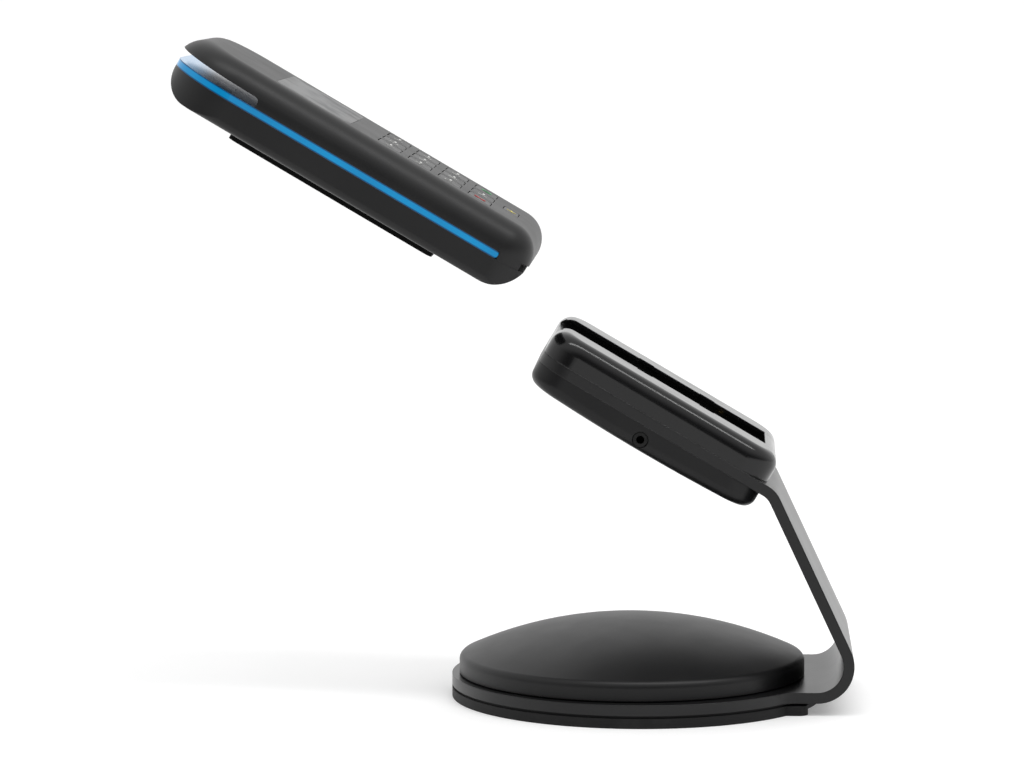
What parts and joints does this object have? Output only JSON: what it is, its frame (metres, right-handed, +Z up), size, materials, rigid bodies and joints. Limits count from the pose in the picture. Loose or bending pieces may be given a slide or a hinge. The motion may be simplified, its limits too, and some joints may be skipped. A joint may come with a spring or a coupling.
{
  "type": "handheld card payment terminal on a desk cradle stand",
  "caption": "Handheld card terminal with keypad and swipe slot, sliding on a tilted cradle held by a bent steel strip on a round weighted base.",
  "frame": {"origin": "centre of the round base's underside, on the surface it stands on", "axes": "+Z up; the user sits on the -Y side and the cradle rises toward +Y at 30.4 degrees; X runs across, X=0 is the middle plane"},
  "size_m": [0.111, 0.2009, 0.1969],
  "materials": {
    "black_steel": "satin black powder coat",
    "pad_rubber": "matt rubber",
    "weight_iron": "raw casting",
    "dome_plastic": "fine satin texture",
    "gasket_rubber": "matt foam rubber",
    "screw_steel": "zinc plated",
    "tray_gloss": "gloss moulded",
    "housing_plastic": "satin moulded",
    "board_green": "solder mask",
    "inlet_plastic": "moulded",
    "block_plastic": "moulded",
    "shell_plastic": "fine satin texture",
    "blue_guide": "clear tinted plastic, lit from inside",
    "display_glass": "polished",
    "display_metal": "brushed frame",
    "mat_rubber": "silicone",
    "battery_wrap": "film wrap",
    "reader_metal": "stamped",
    "antenna_copper": "etched",
    "sounder_plastic": "moulded",
    "lamp_white": "clear lens",
    "dock_plastic": "matt black",
    "contact_gold": "plated",
    "head_metal": "polished",
    "key_plastic": "satin key top",
    "key_red": "satin key top with a red mark",
    "key_green": "satin key top with a green mark",
    "key_yellow": "satin key top with a yellow mark"
  },
  "bodies": {
    "stand": {"stand_plate": "black_steel", "foot_pad": "pad_rubber", "base_weight": "weight_iron", "dome_cover": "dome_plastic", "dome_gasket": "gasket_rubber", "base_screws": "screw_steel", "cradle_tray": "tray_gloss", "cradle_housing": "housing_plastic", "cradle_board": "board_green", "power_inlet": "inlet_plastic", "contact_block": "block_plastic", "cradle_screws": "screw_steel"},
    "terminal": {"lower_shell": "shell_plastic", "light_guide": "blue_guide", "upper_shell": "shell_plastic", "display_window": "display_glass", "display_module": "display_metal", "keypad_mat": "mat_rubber", "main_board": "board_green", "battery_pack": "battery_wrap", "chip_card_reader": "reader_metal", "antenna_loop": "antenna_copper", "sounder": "sounder_plastic", "strip_lamps": "lamp_white", "docking_plate": "dock_plastic", "docking_screws": "screw_steel", "charge_pads": "contact_gold", "head_spring": "reader_metal", "terminal_screws": "screw_steel"},
    "magnetic_head": {"magnetic_head": "head_metal"},
    "contact_pin_1": {"contact_pin_1": "contact_gold"},
    "contact_pin_2": {"contact_pin_2": "contact_gold"},
    "contact_pin_3": {"contact_pin_3": "contact_gold"},
    "key_1": {"key_1": "key_plastic"},
    "key_2": {"key_2": "key_plastic"},
    "key_3": {"key_3": "key_plastic"},
    "key_4": {"key_4": "key_plastic"},
    "key_5": {"key_5": "key_plastic"},
    "key_6": {"key_6": "key_plastic"},
    "key_7": {"key_7": "key_plastic"},
    "key_8": {"key_8": "key_plastic"},
    "key_9": {"key_9": "key_plastic"},
    "key_0": {"key_0": "key_plastic"},
    "key_cancel": {"key_cancel": "key_red"},
    "key_enter": {"key_enter": "key_green"},
    "key_clear": {"key_clear": "key_yellow"}
  },
  "joints": [
    {"name": "dock_slide", "type": "slide", "parent": "stand", "child": "terminal", "axis": [0, 0.8625, 0.506], "range_m": [-0.1128, 0]},
    {"name": "contact_pin_1_press", "type": "slide", "parent": "stand", "child": "contact_pin_1", "axis": [0, 0.506, -0.8625], "range_m": [0, 0.0008], "stiffness_N_per_m": 600, "springref_m": -0.0004},
    {"name": "contact_pin_2_press", "type": "slide", "parent": "stand", "child": "contact_pin_2", "axis": [0, 0.506, -0.8625], "range_m": [0, 0.0008], "stiffness_N_per_m": 600, "springref_m": -0.0004},
    {"name": "contact_pin_3_press", "type": "slide", "parent": "stand", "child": "contact_pin_3", "axis": [0, 0.506, -0.8625], "range_m": [0, 0.0008], "stiffness_N_per_m": 600, "springref_m": -0.0004},
    {"name": "magnetic_head_lift", "type": "slide", "parent": "terminal", "child": "magnetic_head", "axis": [0, -0.506, 0.8625], "range_m": [0, 0.00045], "stiffness_N_per_m": 1500, "springref_m": -0.0003},
    {"name": "key_1_press", "type": "slide", "parent": "terminal", "child": "key_1", "axis": [0, 0.506, -0.8625], "range_m": [0, 0.0004], "stiffness_N_per_m": 2000, "springref_m": -0.0003},
    {"name": "key_2_press", "type": "slide", "parent": "terminal", "child": "key_2", "axis": [0, 0.506, -0.8625], "range_m": [0, 0.0004], "stiffness_N_per_m": 2000, "springref_m": -0.0003},
    {"name": "key_3_press", "type": "slide", "parent": "terminal", "child": "key_3", "axis": [0, 0.506, -0.8625], "range_m": [0, 0.0004], "stiffness_N_per_m": 2000, "springref_m": -0.0003},
    {"name": "key_4_press", "type": "slide", "parent": "terminal", "child": "key_4", "axis": [0, 0.506, -0.8625], "range_m": [0, 0.0004], "stiffness_N_per_m": 2000, "springref_m": -0.0003},
    {"name": "key_5_press", "type": "slide", "parent": "terminal", "child": "key_5", "axis": [0, 0.506, -0.8625], "range_m": [0, 0.0004], "stiffness_N_per_m": 2000, "springref_m": -0.0003},
    {"name": "key_6_press", "type": "slide", "parent": "terminal", "child": "key_6", "axis": [0, 0.506, -0.8625], "range_m": [0, 0.0004], "stiffness_N_per_m": 2000, "springref_m": -0.0003},
    {"name": "key_7_press", "type": "slide", "parent": "terminal", "child": "key_7", "axis": [0, 0.506, -0.8625], "range_m": [0, 0.0004], "stiffness_N_per_m": 2000, "springref_m": -0.0003},
    {"name": "key_8_press", "type": "slide", "parent": "terminal", "child": "key_8", "axis": [0, 0.506, -0.8625], "range_m": [0, 0.0004], "stiffness_N_per_m": 2000, "springref_m": -0.0003},
    {"name": "key_9_press", "type": "slide", "parent": "terminal", "child": "key_9", "axis": [0, 0.506, -0.8625], "range_m": [0, 0.0004], "stiffness_N_per_m": 2000, "springref_m": -0.0003},
    {"name": "key_0_press", "type": "slide", "parent": "terminal", "child": "key_0", "axis": [0, 0.506, -0.8625], "range_m": [0, 0.0004], "stiffness_N_per_m": 2000, "springref_m": -0.0003},
    {"name": "key_cancel_press", "type": "slide", "parent": "terminal", "child": "key_cancel", "axis": [0, 0.506, -0.8625], "range_m": [0, 0.0004], "stiffness_N_per_m": 2000, "springref_m": -0.0003},
    {"name": "key_enter_press", "type": "slide", "parent": "terminal", "child": "key_enter", "axis": [0, 0.506, -0.8625], "range_m": [0, 0.0004], "stiffness_N_per_m": 2000, "springref_m": -0.0003},
    {"name": "key_clear_press", "type": "slide", "parent": "terminal", "child": "key_clear", "axis": [0, 0.506, -0.8625], "range_m": [0, 0.0004], "stiffness_N_per_m": 2000, "springref_m": -0.0003}
  ]
}
